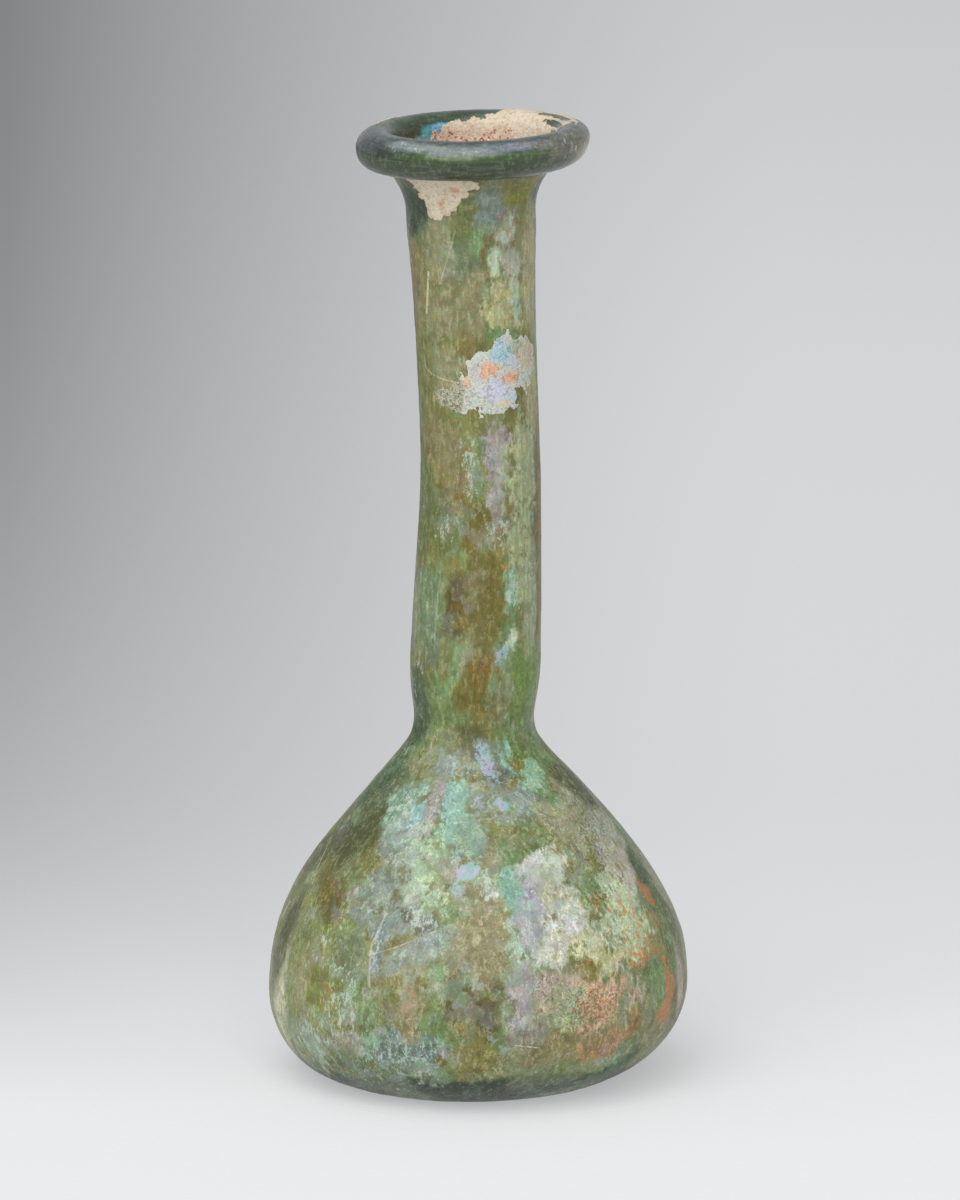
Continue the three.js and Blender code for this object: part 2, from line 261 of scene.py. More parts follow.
wallTints = [  # name, right, height, half width, half height, turn, tone
    ("left edge haze", -29.8, 15.7, 1.2, 9.2, -3, "ivory"),
    # painted light, in part: the left glow patches keep the glass's own green but are painted lighter for the
    # light coming through the glass from behind
    ("left glow", -23.3, 22.6, 5.3, 9.9, 12, "glow"),
    ("left glow low", -24.8, 19.4, 2.7, 4.9, 8, "straw"),
    ("left glow high", -20.7, 33.9, 3.9, 3.9, 35, "olive"),
    ("brown blotch upper", -22.2, 31.3, 2.5, 2, 30, "bronze"),
    ("brown blotch lower", -23.3, 17.6, 2.1, 3.5, 0, "gold"),
    ("shoulder dark", -17.4, 40.5, 2.7, 5.2, 38, "oliveDark"),
    ("shoulder green", -12.9, 46, 1.3, 3.4, 36, "haze"),
    ("shoulder brown olive", -11.7, 38.4, 3.3, 2, 10, "mist"),
    ("speckle ground", -11.4, 43.1, 2.5, 3.7, 22, "sea"),
    ("mint side", -8.7, 42.7, 1.9, 3.2, 8, "ice"),
    ("aqua zone", -3.3, 43.8, 3, 5.1, 0, "aqua"),
    ("aqua low", -0.6, 40.1, 1.8, 2.3, 0, "sea"),
    ("rose band", -6.7, 44.4, 0.9, 4.1, 0, "mauve"),
    ("rose top", -4.6, 49.9, 1.9, 1.9, 0, "mist"),
    ("throat centre", -1.8, 53.0, 2.4, 2.2, 0, "oliveDark"),
    ("blue high", 3.2, 50.6, 2.0, 2.2, 0, "aqua"),
    ("blue ground", 1.5, 50, 1.8, 3.1, -12, "fog"),
    ("shoulder mid green", 5.7, 44.4, 5, 2.8, 0, "mist"),
    ("ring ground", 3.3, 44.8, 1.5, 1.3, 0, "greyGreen"),
    ("green bright", 7.5, 48.7, 2.4, 2.2, -30, "jade"),
    ("shoulder brown right", 14.4, 42.4, 3.9, 3.1, -38, "pewter"),
    ("gold grain", 11.1, 42.1, 1.8, 2.4, -20, "pewter"),
    ("grey grain right", 19.6, 38.9, 2.7, 3.8, -42, "ash"),
    ("centre olive high", 1.8, 38.5, 1.8, 2.3, 0, "tan"),
    ("dark blot", -3.1, 38.2, 1.2, 1.5, 0, "bronze"),
    ("mint mottle left", -9.5, 34.1, 3.9, 4.6, 8, "mint"),
    ("rose grey left", -15.8, 31.5, 2.5, 4.3, 12, "mist"),
    ("mid left low", -12.4, 28.6, 3.3, 2.7, 10, "mist"),
    ("white mottle ground", -8.6, 29.1, 2.4, 1.5, 10, "fog"),
    ("olive left low", -18.8, 23.6, 2.4, 4.2, 6, "sage"),
    ("centre tan left", -2.7, 25.8, 1.8, 5.5, 12, "tan"),
    ("blue green band", -9.5, 24.9, 5.9, 1.8, -26, "mist"),
    ("pale ridge ground", -15, 24.9, 1, 5, 4, "steel"),
    ("teal low left", -11.8, 11.2, 7.2, 5.4, 6, "seaGrey"),
    ("tan left low", -10.4, 18.8, 1.6, 5, -4, "sand"),
    ("green low left", -18.8, 16.4, 3.3, 5.1, 10, "greyGreen"),
    ("haze low left", -25.5, 9.7, 3.9, 4.6, -35, "sage"),
    ("centre brown low", 0, 17.8, 3.7, 5.6, 0, "umber"),
    ("green tinge low", -3.9, 18.6, 1.8, 3.9, 0, "umber"),
    ("centre tan", 0.9, 29.2, 3, 7.6, 2, "tan"),
    ("yellow spot", -0.3, 27.2, 0.9, 1.2, 0, "straw"),
    ("orange tinge low", -2.4, 13.5, 1.8, 1.9, 0, "olive"),
    ("blue grey low", -7.9, 9.4, 2.7, 2, 0, "seaGrey"),
    # the milky patches here are a pale film that is partly a painted reflection of a soft lamp, keeping its
    # straight left edge
    ("milky right", 13.0, 31.0, 4.2, 5.0, -14, "ash"),
    ("sand under milky", 11.6, 25.3, 3.6, 3, 0, "milk"),
    ("mauve", 6.2, 20, 2.4, 5.5, 0, "mauve"),
    ("milky", 8.9, 32, 5.3, 5.5, 0, "milk"),
    ("milky top", 9.2, 36.5, 4.4, 2, -12, "milk"),
    ("mint under milky", 6.5, 27, 3, 2.5, 0, "mint"),
    ("olive right low", 12.2, 19.5, 3.9, 2.6, 0, "blush"),
    ("grey green right", 20.1, 35.3, 3.9, 2.7, -34, "ash"),
    ("beige right", 22.5, 32, 2.1, 1.9, -34, "blush"),
    ("ember ground", 22.4, 26.9, 3.3, 5.6, -14, "paleMint"),
    ("green among ember", 21.2, 28.9, 1.8, 1.8, 0, "ash"),
    ("lime", 17.4, 25.3, 2.2, 2.2, 0, "ivory"),
    ("lime low", 20, 22.4, 1.8, 1.7, 0, "cream"),
    ("green right low", 23.3, 17.6, 1.8, 3.2, -8, "pewter"),
    ("lavender field", 7.4, 31.0, 2.2, 4.4, 0, "lavender"),
    ("aqua edge", 4.8, 34.4, 1.3, 3.2, 0, "aqua"),
    ("rose in milky", 10.6, 33.2, 1.2, 1.8, 0, "ash"),
    ("terracotta", 17.9, 16.7, 5.6, 3.9, -8, "peach"),
    ("terracotta left", 13.1, 16.8, 2.4, 2.7, 0, "lichen"),
    ("mauve brown low", 12.6, 11.0, 6.0, 3.0, -4, "tan"),
    ("grey pink low", 7.7, 13.9, 2.4, 2.5, 0, "rose"),
    ("olive terracotta low", 20, 10.6, 4.4, 2.4, -12, "clay"),
    ("right low rim", 26.1, 8.8, 2.1, 4.4, 30, "khaki"),
    ("dark strip right", 28.6, 28.0, 0.8, 6.2, -24, "greenDark"),
    ("dark strip high", 24.5, 33.4, 1, 2.7, -36, "greenDark"),
    ("right edge low", 30.3, 16.9, 0.7, 5.9, 2, "blush"),
    ("centre low mottled", -7.2, 6, 4.4, 1.9, 4, "greyGreen"),
    ("dark teal base", -1.2, 3.9, 19.3, 1.8, 0, "seaDark"),
    ("dark teal left", -16.1, 4.7, 7.1, 2.4, 20, "haze"),
    ("base right", 18.3, 4.5, 5.9, 1.8, -20, "greenDark"),
    ("green glow base", 9.3, 4.8, 5.3, 1.2, -3, "haze"),
    ("neck low left dark", -8.7, 58.1, 1.3, 5.6, 0, "greenDark"),
    ("neck low right green", 7.4, 60.2, 1.8, 6.4, 0, "leaf"),
    ("neck low middle", 0, 61.1, 3.3, 5.3, 0, "bronze"),
    ("aqua spots", 2.3, 61.8, 0.7, 1.5, 0, "greyGreen"),
    ("orange mid low", 0.7, 64.5, 1.8, 3.4, 0, "ochre"),
    ("yellow green low", -5.2, 65.4, 1, 3.6, 2, "olive"),
    ("grey green low", -7.2, 68.1, 1.8, 4.5, 0, "haze"),
    ("brown column", -3.6, 73.8, 1.6, 5.4, 4, "umber"),
    ("olive column", 0.3, 74.0, 3.9, 7.4, 0, "bronze"),
    ("grey green left", -7.6, 74, 1.9, 6.3, 0, "greyGreen"),
    ("green column", 6.3, 80.4, 1.9, 7.6, 0, "lichen"),
    ("splash", 3.6, 66.7, 1.3, 2.1, 0, "greyGreen"),
    ("mint by splash", 5.2, 68.4, 0.7, 2.1, 0, "paleMint"),
    ("mint column", 4.9, 75.8, 0.9, 3, 0, "jade"),
    ("right speckle low", 7.9, 73.9, 1, 9.2, 0, "lichen"),
    ("brown grey mid", -0.6, 85.1, 2.2, 4.2, 0, "bronze"),
    ("rose flakes", 3, 84.4, 1.5, 3.6, 0, "tan"),
    ("grey patch", -4.8, 85.4, 1.8, 3.9, 0, "fern"),
    ("left olive mid", -7.9, 88.9, 1.6, 7.4, 0, "fern"),
    # the lavender streak is partly a painted reflection, a soft upright highlight down the neck
    ("lavender streak", 3, 94.4, 2.2, 7, -2, "mauve"),
    ("yellow green blob", -2.5, 93.2, 1, 4.6, 4, "ochre"),
    ("right mottled", 7, 93.9, 1.9, 8.5, 0, "lichen"),
    ("brown top mid", -4.9, 97.8, 3, 4.6, 0, "tan"),
    ("under patch", 0.3, 101.3, 5.9, 1.8, 0, "olive"),
    ("patch wing high", -4.6, 111.2, 3.0, 1.7, 0, "khaki"),
    ("patch wing low", -4.2, 106.8, 2.6, 2.4, 0, "khaki"),
    ("left of patch", -8.1, 107.2, 1.3, 6.8, 0, "olive"),
    ("right of patch", 8.1, 105.7, 0.9, 6, 0, "straw"),
    ("brown left high", -6.2, 117.2, 2.4, 3.4, 0, "khaki"),
    ("olive mid high", -1.5, 120.3, 2.5, 4.6, 0, "khaki"),
    ("grey green high", -2.4, 126, 3, 3.3, 0, "haze"),
    ("green right high", 4.2, 119.4, 2.7, 4.2, 0, "straw"),
    ("mint right high", 5.7, 121, 0.6, 3, 0, "mint"),
    ("right flecks", 7.7, 123.8, 1, 9.1, 0, "straw"),
    ("left edge high", -9.2, 122.3, 1.2, 7.8, 0, "tan"),
    ("grey streak", -5.6, 126.9, 1.9, 5.5, 6, "khaki"),
    ("rose high", 4.9, 125.5, 1.3, 2.3, 0, "ash"),
    ("mint high", 2.4, 125.9, 1, 2.4, 0, "paleMint"),
    ("white speck high", 4.3, 130.6, 1.3, 3, 0, "pewter"),
    ("dark grey high", -1.8, 133.3, 3, 3.7, 0, "fern"),
    ("teal grey high", 2.1, 134.2, 2.1, 3.6, 0, "steel"),
    ("brown high", 5.9, 135.6, 2.4, 2.1, 0, "gold"),
    ("teal edge high", 9.2, 136, 0.9, 2.2, 0, "deepSea"),
    # painted shade: the next six darker patches run down the silhouettes of the body, shoulder and throat,
    # where the glass looks darker seen edge on
    ("left flank dark", -29.3, 22, 1.2, 8, 6, "oliveDark"),
    ("left shoulder edge", -21.6, 37.6, 1.6, 6, 42, "oliveDark"),
    ("throat edge left", -9.6, 53.4, 1.1, 3.6, 24, "greenDark"),
    ("shoulder edge", -14.9, 46.6, 1.1, 5, 38, "greenDark"),
    ("right flank deep", 29.6, 24.5, 0.8, 7, -14, "fern"),
    ("right shoulder edge", 15.6, 45.2, 1.2, 4.5, -40, "oliveDark"),
    ("dark green high", -9.5, 133.7, 1.9, 4.1, 0, "seaDark"),
]
overlying = {  # the patches that lie over the ground with crisp, flaking edges
    "milky", "lavender field", "aqua edge", "rose in milky", "milky right", "milky top", "sand under milky",
    "mint under milky", "mauve", "lime", "lime low", "aqua zone", "aqua low", "mint side", "speckle ground",
    "white mottle ground", "pale ridge ground", "terracotta", "terracotta left", "rose grey left",
    "mint mottle left", "mid left low", "ember ground", "teal low left", "blue high", "patch wing high",
    "patch wing low", "blue ground", "ring ground", "rose band", "rose top", "green bright", "beige right",
    "tan left low", "green low left", "grey green right", "haze low left", "blue grey low", "yellow spot",
    "olive terracotta low", "splash", "mint by splash", "mint column", "green column", "lavender streak",
    "grey patch", "rose flakes", "green right high", "mint right high", "grey streak", "mint high",
    "rose high", "white speck high", "yellow green blob", "yellow green low", "aqua spots", "right mottled",
}
rimTints = [  # name, degrees round, lap, half width, half lap, colour
    ("crest line", 0, 3.3, 24, 0.6, (52, 62, 62)),
    # painted reflection, mostly: the slate and lavender bands along the crest stand for the pale room and
    # lamp seen in the glossy rim
    ("slate crest", 2, 1.6, 15, 0.95, (108, 120, 132)),
    ("slate left", -36, 1.9, 6, 0.9, (140, 150, 154)),
    ("lavender right", 26, 1.9, 3, 0.8, (146, 146, 166)),
    ("right mottled", 62, 1.2, 8, 2.2, (118, 118, 112)),
    ("right rosy", 78, -0.6, 5, 1.6, (138, 126, 106)),
    ("left dark", -84, 1.0, 9, 2.8, (34, 44, 46)),
    ("left dark low", -62, -1.2, 5, 1.6, (52, 62, 50)),
    ("green strip", -2, 0.1, 13, 0.55, (64, 92, 42)),
    ("under green", 0, -1.7, 24, 1.2, (44, 62, 30)),
    ("back left glass", -140, 6.2, 12, 3.4, (44, 66, 34)),
    ("back right glass", 122, 5.6, 5, 1.2, (52, 70, 40)),
    ("blue flecks", -156, 8.0, 3.2, 0.8, (120, 196, 240)),
    ("blue flecks left", -142, 9.0, 2.0, 0.6, (140, 200, 236)),
]


def overlay(colours, tint, mask):
    return colours + (np.array(linear(*tint)) - colours) * mask[:, None]


def richer(colours, amount):  # the same colours with the grey taken out of them
    grey = colours @ np.array([0.3, 0.6, 0.1])
    return np.clip(grey[:, None] + (colours - grey[:, None]) * amount, 0.006, 0.9)


# the film's colours, with painted light among them: a painted glow, painted reflections and painted shade
# down the edges
def filmWithPaintedLight():
    high = np.array([1, 1, 0.32])  # blown and drawn glass weathers in streaks along the neck
    neckness = smooth(up, 46, 62)
    broad = cloud(points * np.array([1, 1, 0.55]), 16, 21, 4)
    streaks = cloud(points * high, 5, 22, 5)
    mottle = broad * (1 - neckness) * 0.8 + streaks * (0.45 + 0.4 * neckness) + 0.2 * warp[:, 0]
    second = cloud(points * np.array([1, 1, 0.6]), 9, 23, 5)
    colours = np.tile(np.array(linear(*film["olive"])), (len(points), 1))
    colours = overlay(colours, film["moss"], smooth(mottle, -0.2, 0.5))
    colours = overlay(colours, film["fresh"], smooth(mottle, 0.9, 1.5))
    colours = overlay(colours, film["stone"], 0.8 * smooth(second, 0.5, 1.1))
    colours = overlay(colours, film["bark"], 0.9 * smooth(-second, 0.7, 1.2))
    colours = overlay(colours, film["base"], 1 - smooth(up + 0.9 * warp[:, 1], 2.2, 6.5))
    for name, right, height, halfWidth, halfHeight, turn, tone in wallTints:
        if name not in overlying:
            colours = overlay(colours, tones[tone], 0.92 * spot(right, height, halfWidth, halfHeight, turn))
    over, cover = colours.copy(), np.zeros(len(points))
    for name, right, height, halfWidth, halfHeight, turn, tone in wallTints:
        if name in overlying:
            whole = spot(right, height, halfWidth * 1.3, halfHeight * 1.3, turn, 0.3)
            over = overlay(over, tones[tone], whole)
            cover = np.maximum(cover, spot(right, height, halfWidth, halfHeight, turn, 0.85))
    rim = smooth(ringOf, 44.5, 47.5)
    cover = cover * (1 - rim) * (1 - inside)
    colours = overlay(colours, film["deep"], rim)
    # painted reflection, mostly: the slate band along the top of the rim
    colours = overlay(colours, film["slate"], rim * smooth(lap + 0.3 * warp[:, 0], 0.5, 2.0))
    colours = overlay(colours, film["cavity"], inside)
    for name, degrees, lapAt, halfWidth, halfLap, tint in rimTints:
        colours = overlay(colours, tint, 0.9 * rimSpot(degrees, lapAt, halfWidth, halfLap))
    return colours, over, cover


# how thick each kind of flake lies, from 0, none, to 1, whole
flakes = {  # right, height, half width, half height, turn, thickness
    "pale": [
        (-11.4, 43.1, 2.5, 3.7, 20, 0.62),  # white specks on the left shoulder
        (-8.7, 38.7, 3.6, 2.3, 0, 0.42),
        (-10.4, 31.4, 3.3, 2.9, 0, 0.5),
        (-8.6, 29.1, 2.9, 1.7, 10, 0.64),  # white mottle
        (-3.4, 36.7, 3.3, 1.8, 0, 0.4),
        (9.2, 36.4, 4.7, 1.5, -12, 0.72),  # fringe over the milky field
        (10.4, 32.1, 5, 5.2, 0, 0.42),
        (14, 33, 2.4, 2.8, -20, 0.5),
        (6.5, 20.7, 2.4, 4.6, 0, 0.4),
        (17.6, 25.9, 2.7, 3, 0, 0.48),
        (16.8, 38.9, 3.9, 2.3, -40, 0.45),
        (24.3, 29.5, 3, 4.9, -24, 0.38),
        (-15.2, 25.5, 1, 4.6, 4, 0.62),  # the pale ridge
        (-7.1, 27.8, 2.4, 0.8, -20, 0.45),
        (-24.9, 10, 4.4, 4.5, -35, 0.6),  # haze low on the left
        (-29.5, 15.1, 1.3, 8.9, 0, 0.45),
        (-12.8, 11.9, 4.1, 4.1, 0, 0.4),
        (-12.6, 9, 9.0, 4.4, 10, 0.58),
        (-14.6, 5, 6.8, 2, 16, 0.5),
        (-4.6, 110.4, 3.0, 1.8, 0, 0.4),
        (6.3, 3.4, 12.4, 1.3, -2, 0.44),
        # painted shade: very thin pale flakes at the silhouettes, so that the edges stay dark
        (-27.6, 24, 2.2, 7, 8, 0.06),
        (-21.0, 38.0, 1.8, 5, 42, 0.12),
        (28.6, 25, 1.6, 7, -16, 0.1),
        (-22.4, 21.9, 3.6, 0.9, 6, 0.55),
        (-19.6, 39.9, 1.3, 3, 40, 0.42),
        (-12.1, 49.5, 1.2, 2.7, 40, 0.5),
        (-3.3, 43.8, 2.7, 4.9, 0, 0.35),
        (-1.2, 50.6, 3.6, 1.8, 0, 0.38),
        (-4.8, 85.9, 1.8, 3.6, 0, 0.5),
        (3.3, 85.3, 1.8, 3.9, 0, 0.6),
        (3.3, 94.4, 2.1, 6.7, 0, 0.34),
        (5.1, 75.7, 0.9, 3, 0, 0.7),
        (4.3, 67, 1.6, 2.8, 0, 0.55),
        (8.2, 79.9, 0.9, 22.9, 0, 0.45),
        (-9, 79.4, 0.9, 18.8, 0, 0.45),
        (-9, 59.9, 1, 6.3, 0, 0.5),
        (5.5, 121.3, 1.3, 6.6, 0, 0.55),
        (4.3, 130.3, 1.8, 3.4, 0, 0.62),
        (-4.7, 127.7, 1.5, 5.5, 6, 0.45),
        (2.4, 125.9, 1.2, 2.4, 0, 0.55),
        (7.9, 125.3, 1, 9.1, 0, 0.45),
        (0.3, 134.7, 4.4, 3.4, 0, 0.3),
    ],
    "pearl": [
        (1.5, 50, 1.6, 3.1, -12, 0.78),  # blue flakes under the throat
        (3.3, 44.8, 1.2, 1, 0, 0.85),
        (-1.8, 36.5, 2.1, 1.5, 0, 0.85),  # lavender flakes
        (-3.3, 34.1, 1.2, 1.3, 0, 0.75),
        (9.2, 32.5, 3.9, 3.9, 0, 0.48),
        (6.2, 20.7, 2.1, 4.6, 0, 0.45),
        (-4.5, 50.2, 1.5, 1.5, 0, 0.4),
        (0, 45.4, 1, 5.1, 0, 0.55),
        (-10.9, 33.4, 3.6, 3.1, 0, 0.35),
        (3.7, 66.3, 1.3, 2, 0, 0.75),
        (-5.2, 126.5, 1.5, 4.6, 6, 0.42),
        (3.4, 93.2, 1.3, 4.2, 0, 0.38),
        (2.1, 120.2, 1.2, 1.8, 0, 0.3),
        (-7.1, 10, 2.4, 2, 0, 0.4),
        (21.6, 34.1, 3, 1.6, -34, 0.28),
    ],
    "ember": [
        (25.2, 30.0, 0.55, 2.6, -24, 0.82),  # orange streaks on the right flank
        (26.9, 25.6, 0.5, 2.2, -18, 0.8),
        (27.9, 20.6, 0.5, 1.9, -8, 0.78),
        (28.7, 16.6, 0.8, 2.8, 0, 0.9),
        (26.6, 24.0, 1.6, 5.0, -14, 0.56),
        (27.8, 12.6, 1.2, 2.2, 20, 0.86),
        (22.7, 26.9, 3.6, 5.3, -14, 0.55),
        (25, 22.2, 2.4, 1.9, 0, 0.66),
        (18.5, 16.9, 5.4, 3.6, -8, 0.54),
        (18.2, 31.1, 1.8, 2, 0, 0.5),
        (16.4, 23.3, 2.4, 1.7, 0, 0.5),
        (-21.7, 31.5, 2.1, 1.7, 30, 0.42),
        (-22.4, 17.1, 1.5, 2.9, 0, 0.5),
        (-10.4, 19.7, 1.5, 4.4, 0, 0.4),
        (-2.2, 13.5, 2.4, 2.2, 0, 0.42),
        (0.6, 9.7, 2.4, 1.7, 0, 0.42),
        (3.3, 36.2, 1.2, 1.3, 0, 0.46),
        (3.7, 79.8, 1.3, 1.5, 0, 0.58),
        (-2.7, 102.3, 2.1, 1.5, 0, 0.4),
        (0.9, 64.5, 1.5, 2.8, 0, 0.42),
        (5.8, 136.3, 1.8, 1.7, 0, 0.4),
        (4.5, 124.2, 1.2, 1.2, 0, 0.45),
    ],
    "pits": [
        (18.2, 16.4, 6.5, 3.6, -8, 0.75),
        (11, 19.6, 3.3, 3.5, 0, 0.6),
        (23, 23.4, 3.3, 6.9, -14, 0.5),
        (0.6, 20.1, 3.9, 8.7, 0, 0.42),
        (-22.1, 25, 3.6, 9.4, 10, 0.4),
        (-20.6, 15.2, 4.4, 4.5, 0, 0.45),
        (0, 86.9, 5, 9.1, 0, 0.45),
        (0.3, 127.8, 5, 9.1, 0, 0.45),
        (16.5, 40.7, 5, 3.7, -40, 0.7),
        (-1.2, 7.6, 16.3, 2.1, 0, 0.45),
    ],
    "bare": [
        (-23.9, 23.1, 5, 10.7, 12, 0.8),  # clear glass on the left flank
        (-18.9, 37, 3.6, 4.5, 36, 0.55),
        (28.6, 27.8, 0.9, 6, -24, 0.4),  # and down the right edge
        (24.5, 33.3, 1, 3, -36, 0.5),
        (-1.2, 3.7, 19.3, 1.6, 0, 0.78),
        (-13.5, 45.2, 1.5, 3.8, 36, 0.6),
        (7.2, 53.1, 2.1, 4.1, 0, 0.45),
        (-9, 56.7, 1.3, 5.5, 0, 0.5),
        (0.6, 73.9, 2.7, 6.1, 0, 0.38),
        (-9.5, 133.4, 1.9, 4.4, 0, 0.7),
        (5.9, 135.9, 2.4, 2, 0, 0.5),
        (6.3, 72.8, 1.3, 6.1, 0, 0.3),
        (7.5, 60.1, 1.5, 6.4, 0, 0.5),
        (1.2, 17.2, 2.4, 5.9, 0, 0.22),
    ],
}
rimFlakes = {  # degrees round, lap, half width, half lap, thickness
    "pale": [
        (-38, 1.6, 6.5, 1.5, 0.5), (-70, -0.4, 5, 2.0, 0.36), (62, 0.8, 8, 2.4, 0.5), (0, -2.4, 22, 0.9, 0.3),
        (8, 2.0, 10, 0.7, 0.34),
    ],
    "pearl": [
        (28, 1.8, 4, 0.8, 0.45), (-20, 2.0, 6, 0.7, 0.3), (-156, 7.8, 3.4, 0.9, 0.6),
        (-143, 9.0, 2.4, 0.8, 0.5),
    ],
    "pits": [(70, 0.5, 7, 2.5, 0.4)],
    "bare": [(-140, 6.2, 11, 3.4, 0.5)],
}
hidden = {  # how much of each kind lies where the front's patches don't reach: level, size in mm, seed
    "pale": (0.13, 11, 31), "pearl": (0.06, 9, 32), "ember": (0.02, 10, 33),
    "pits": (0.16, 8, 34), "bare": (0.20, 14, 35),
}


def thickness(kind):
    level, size, seed = hidden[kind]
    total = np.clip(level + 0.17 * cloud(points * np.array([1, 1, 0.6]), size, seed, 4), 0, 0.7)
    for right, height, halfWidth, halfHeight, turn, amount in flakes[kind]:
        mask = spot(right, height, halfWidth, halfHeight, turn, soft=0.5)
        total = total + (amount - total) * mask
    rim = smooth(ringOf, 44.5, 47.5)
    onRim = {"pale": 0.12, "pearl": 0.06, "ember": 0.02, "pits": 0.1, "bare": 0.35}[kind]
    total = total + (onRim - total) * rim
    within = {"pale": 0.3, "pearl": 0.0, "ember": 0.1, "pits": 0.2, "bare": 0.35}[kind]
    total = total + (within - total) * inside
    for degrees, lapAt, halfWidth, halfLap, amount in rimFlakes.get(kind, []):
        total = total + (amount - total) * rimSpot(degrees, lapAt, halfWidth, halfLap, soft=0.5)
    return total


finish = {
    "richness": 1.25,  # how strong the patches' colours are
    "filmRoughness": 0.42,
    "filmSpread": 0.22,
    "filmGlow": 0.3,  # how much light passes the film
    "glassRoughness": 0.14,
    "glassIor": 1.5,
    "filmShine": 0.24,
    "coatRoughness": 0.2,
    "wallGloss": 0.26,
    "rimGloss": 0.6,  # more than on the wall
    "clearShare": 0.34,  # how see-through the glass is where the film has gone
    "grainBump": 0.35,
    "grainDepth": 0.06,  # mm
}

layers = {kind: thickness(kind) for kind in flakes}
colours, overColours, cover = filmWithPaintedLight()
colours, overColours = (richer(part, finish["richness"]) for part in (colours, overColours))
print("film laid on")

relief = {  # the low relief of the glass skin
    "lumps": 0.035,  # mm, slow unevenness of blown glass
    "film": 0.03,  # mm, edges of the weathered layers
    "limit": 1e-6,  # m, how near the frame's box the skin may come
}


def glassSkin():
    mesh = shellMesh("glassFlask", grid, footPole, insidePole)
    normals = np.empty(len(mesh.vertices) * 3, np.float32)
    mesh.vertex_normals.foreach_get("vector", normals)
    normals = normals.reshape(-1, 3).astype(float)[:-2]
    lumps = cloud(points * np.array([1, 1, 0.4]), 6, 41, 3)
    flaking = smooth(cloud(points, 1.8, 42, 4) + 2.2 * layers["pale"], 0.4, 1.2)
    height = relief["lumps"] * 0.5 * lumps + relief["film"] * (flaking - 0.5)
    height = height * smooth(ringOf, 4.5, 7) * (1 - inside)
    moved = (points + normals * height[:, None]) * mm
    low, high = np.array(cadBox[0]) + relief["limit"], np.array(cadBox[1]) - relief["limit"]
    low[2] = 0
    moved = np.clip(moved, low, high)
    everyPoint = np.vstack([moved, np.array([footPole, insidePole]) * mm])
    mesh.vertices.foreach_set("co", everyPoint.astype(np.float32).ravel())
    gloss = finish["wallGloss"] + finish["rimGloss"] * smooth(ringOf, 45, 48) * (1 - inside)
    for name, values in {**layers, "cover": cover, "gloss": gloss}.items():
        layer = mesh.attributes.new(name, "FLOAT", "POINT")
        layer.data.foreach_set("value", np.append(values, [0, 0]).astype(np.float32))
    for name, shades in {"tint": colours, "overTint": overColours}.items():
        layer = mesh.attributes.new(name, "FLOAT_COLOR", "POINT")
        full = np.ones((len(points) + 2, 4))
        full[:-2, :3] = shades
        full[-2:, :3] = linear(*film["base"])
        layer.data.foreach_set("color", full.astype(np.float32).ravel())
    mesh.update()
    piece = bpy.data.objects.new("glassFlask", mesh)
    bpy.context.scene.collection.objects.link(piece)
    return piece


class Wire:  # one socket, so that values can be added and multiplied as they are written
    def __init__(self, bench, socket):
        self.bench, self.socket = bench, socket

    def __add__(self, other):
        return self.bench.sums("ADD", self, other)

    def __sub__(self, other):
        return self.bench.sums("SUBTRACT", self, other)

    def __rtruediv__(self, other):
        return self.bench.sums("DIVIDE", other, self)

    def __rsub__(self, other):
        return self.bench.sums("SUBTRACT", other, self)

    def __mul__(self, other):
        return self.bench.sums("MULTIPLY", self, other)

    def __truediv__(self, other):
        return self.bench.sums("DIVIDE", self, other)

    __radd__ = __add__
    __rmul__ = __mul__


class Bench:  # the nodes of one finish or one geometry tree
    def __init__(self, tree):
        self.tree = tree

    def node(self, kind, settings, sockets, out=0):
        made = self.tree.nodes.new(kind)
        for key, value in settings.items():
            setattr(made, key, value)
        for key, value in sockets.items():
            for part in value if isinstance(value, list) else [value]:
                if isinstance(part, Wire):
                    self.tree.links.new(part.socket, made.inputs[key])
                else:
                    made.inputs[key].default_value = part
        return Wire(self, made.outputs[out]) if len(made.outputs) else made

    def sums(self, operation, first, second):
        return self.node("ShaderNodeMath", {"operation": operation}, {0: first, 1: second})

    def larger(self, first, second):
        return self.sums("MAXIMUM", first, second)

    def ease(self, value, low, high):  # 0 under low, 1 over high
        return self.node(
            "ShaderNodeMapRange", {"interpolation_type": "SMOOTHSTEP"},
            {"Value": value, "From Min": low, "From Max": high},
        )

    def blend(self, share, first, second, how="MIX"):
        return self.node(
            "ShaderNodeMix", {"data_type": "RGBA", "blend_type": how},
            {0: share, 6: first, 7: second}, out=2,
        )

    def arrow(self, operation, first, second, out=0):
        return self.node("ShaderNodeVectorMath", {"operation": operation}, {0: first, 1: second}, out)

    def scaled(self, vector, factor):
        return self.node("ShaderNodeVectorMath", {"operation": "SCALE"}, {0: vector, "Scale": factor})

    def stored(self, name, out="Fac"):
        return self.node("ShaderNodeAttribute", {"attribute_name": name}, {}, out)

    def speckle(self, place, scale, detail=6, roughness=0.65, bend=0.0):  # spread over 0 to 1
        raw = self.node(
            "ShaderNodeTexNoise", {},
            {"Vector": place, "Scale": scale, "Detail": detail, "Roughness": roughness, "Distortion": bend},
        )
        return (raw - 0.5) * 2.4 + 0.5

    def flaked(self, amount, speckle, soft=0.06):  # crisp flakes, more of them where amount is higher
        return self.ease(speckle + amount * 1.25 - 0.2, 1 - soft, 1 + soft)


def finishBench(name):  # an empty material and the bench for its nodes
    material = bpy.data.materials.new(name)
    material.use_nodes = True
    material.node_tree.nodes.clear()
    return material, Bench(material.node_tree)


